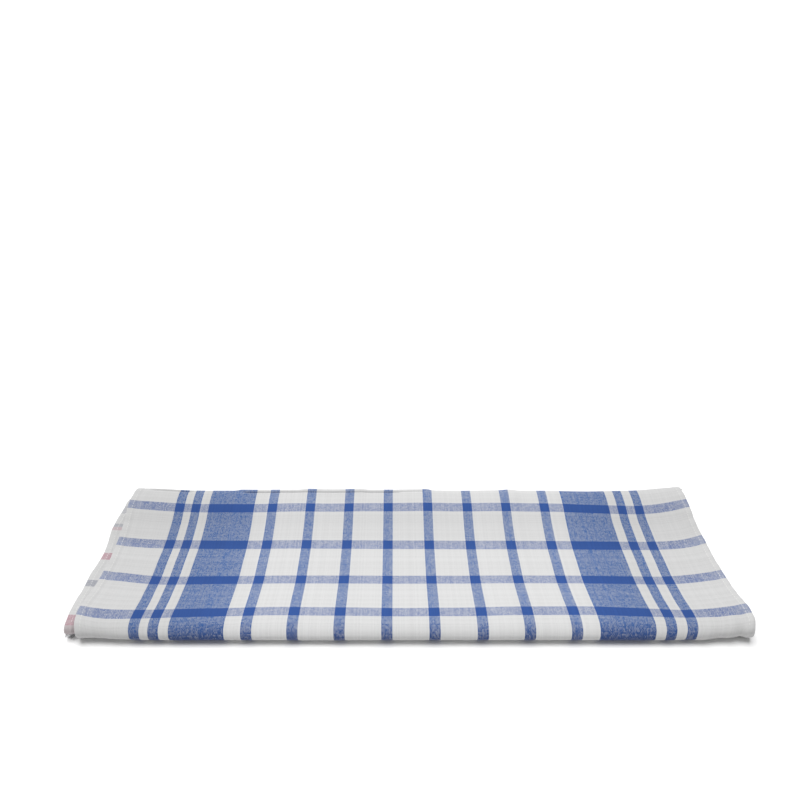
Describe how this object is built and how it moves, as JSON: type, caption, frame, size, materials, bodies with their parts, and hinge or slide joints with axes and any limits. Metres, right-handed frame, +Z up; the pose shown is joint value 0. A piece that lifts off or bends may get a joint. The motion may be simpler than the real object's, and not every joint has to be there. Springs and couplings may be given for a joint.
{
  "type": "folded tea towel",
  "caption": "Woven cotton tea towel with blue stripes and bars, folded and lying flat, with a puffed front fold and a raised back fold.",
  "frame": {"origin": "centre of the object's box at its base, on the surface that the towel rests on", "axes": "+X along the front fold, +Y from the front fold to the back fold, +Z up out of the pile"},
  "size_m": [0.6138, 0.1774, 0.0258],
  "materials": {
    "woven_cotton": "matt plain weave"
  },
  "bodies": {
    "root": {"folded_cloth": "woven_cotton"}
  },
  "joints": []
}
